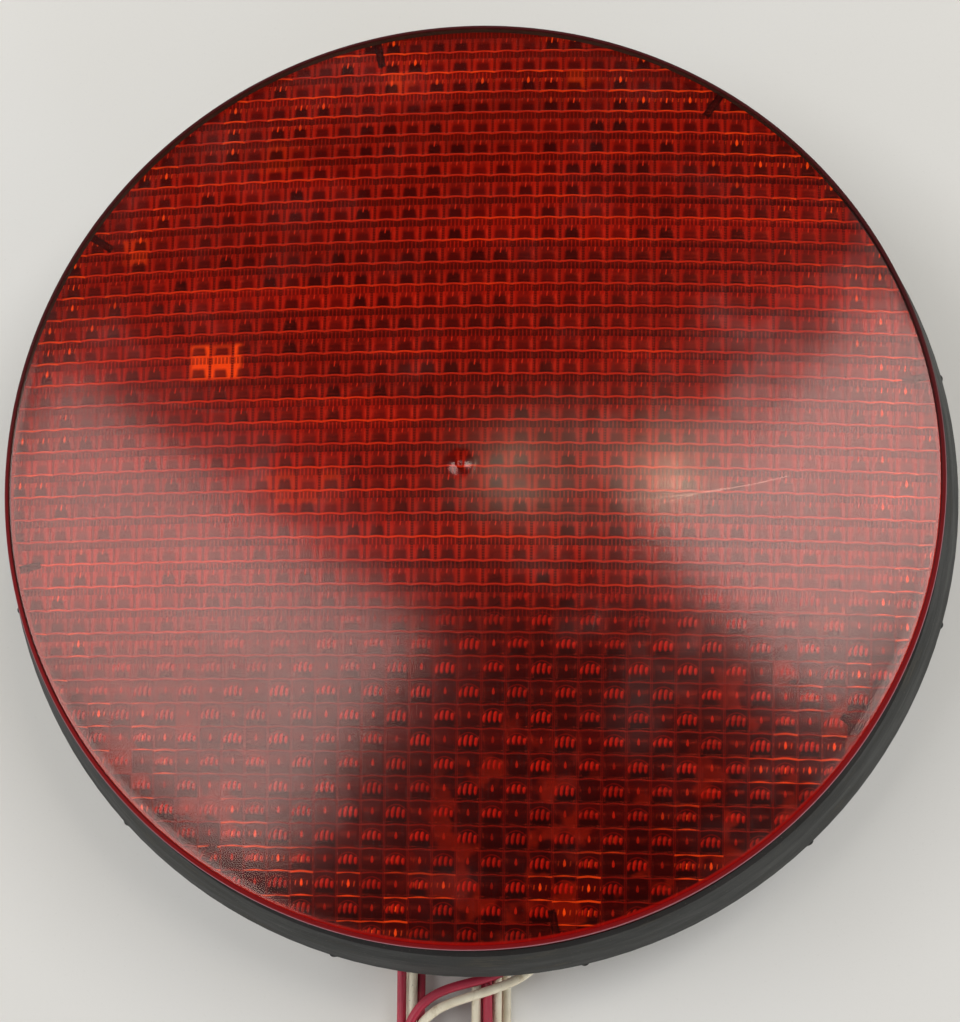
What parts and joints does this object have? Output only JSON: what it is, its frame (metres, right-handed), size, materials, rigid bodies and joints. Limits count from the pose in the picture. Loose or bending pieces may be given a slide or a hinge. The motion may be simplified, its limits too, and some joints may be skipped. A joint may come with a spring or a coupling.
{
  "type": "led traffic signal module",
  "caption": "Round red LED signal module: patterned lens, rubber gasket, housing with light engine and driver inside, and a folded hank of supply leads.",
  "frame": {"origin": "centre of the rear cover's outer face, on the surface that the module lies on", "axes": "+Z out through the lens, -Y towards the supply leads' exit"},
  "size_m": [0.315, 0.3555, 0.098],
  "materials": {
    "red_lens": "glossy, moulded cells behind a smooth face",
    "clear_plastic": "clear, polished",
    "silicone": "satin",
    "epdm_rubber": "matte, dusty",
    "housing_plastic": "fine moulded grain",
    "heat_sink_metal": "mill",
    "screw_steel": "zinc plated",
    "led_board": "white solder mask",
    "led_resin": "clear dome on a pale base",
    "red_insulation": "satin",
    "white_insulation": "satin, a little dirty",
    "standoff_brass": "turned",
    "driver_board": "solder mask",
    "ferrite": "matte",
    "winding_tape": "glossy tape",
    "enamelled_wire": "enamelled copper",
    "capacitor_sleeve": "shrink sleeve",
    "varistor_blue": "dipped",
    "tinned_metal": "tinned",
    "black_epoxy": "moulded",
    "connector_nylon": "moulded nylon",
    "vent_plastic": "moulded nylon",
    "red_vinyl": "satin",
    "blue_vinyl": "satin"
  },
  "bodies": {
    "root": {"outer_lens": "red_lens", "fresnel_lens": "clear_plastic", "lens_seal": "silicone", "gasket": "epdm_rubber", "housing": "housing_plastic", "heat_sink": "heat_sink_metal", "heat_sink_screws": "screw_steel", "thermal_pad": "silicone", "led_board": "led_board", "leds": "led_resin", "optic_plate": "clear_plastic", "led_board_screws": "screw_steel", "led_wires": "red_insulation", "standoffs": "standoff_brass", "driver_board": "driver_board", "board_screws": "screw_steel", "transformer_core": "ferrite", "transformer_winding": "winding_tape", "choke": "enamelled_wire", "bulk_capacitors": "capacitor_sleeve", "film_capacitor": "winding_tape", "varistor": "varistor_blue", "fuse": "tinned_metal", "rectifier": "black_epoxy", "transistor": "black_epoxy", "transistor_heat_sink": "heat_sink_metal", "controller_chip": "black_epoxy", "input_connector": "connector_nylon", "output_connector": "connector_nylon", "input_wires": "white_insulation", "rear_cover": "housing_plastic", "cover_seal": "epdm_rubber", "cover_screws": "screw_steel", "vent_plug": "vent_plastic", "strain_relief": "epdm_rubber", "red_lead": "red_insulation", "white_lead": "white_insulation", "lead_hank": "white_insulation", "hank_tie": "vent_plastic", "red_sleeve": "red_vinyl", "red_tab": "tinned_metal", "white_sleeve": "blue_vinyl", "white_tab": "tinned_metal"}
  },
  "joints": []
}
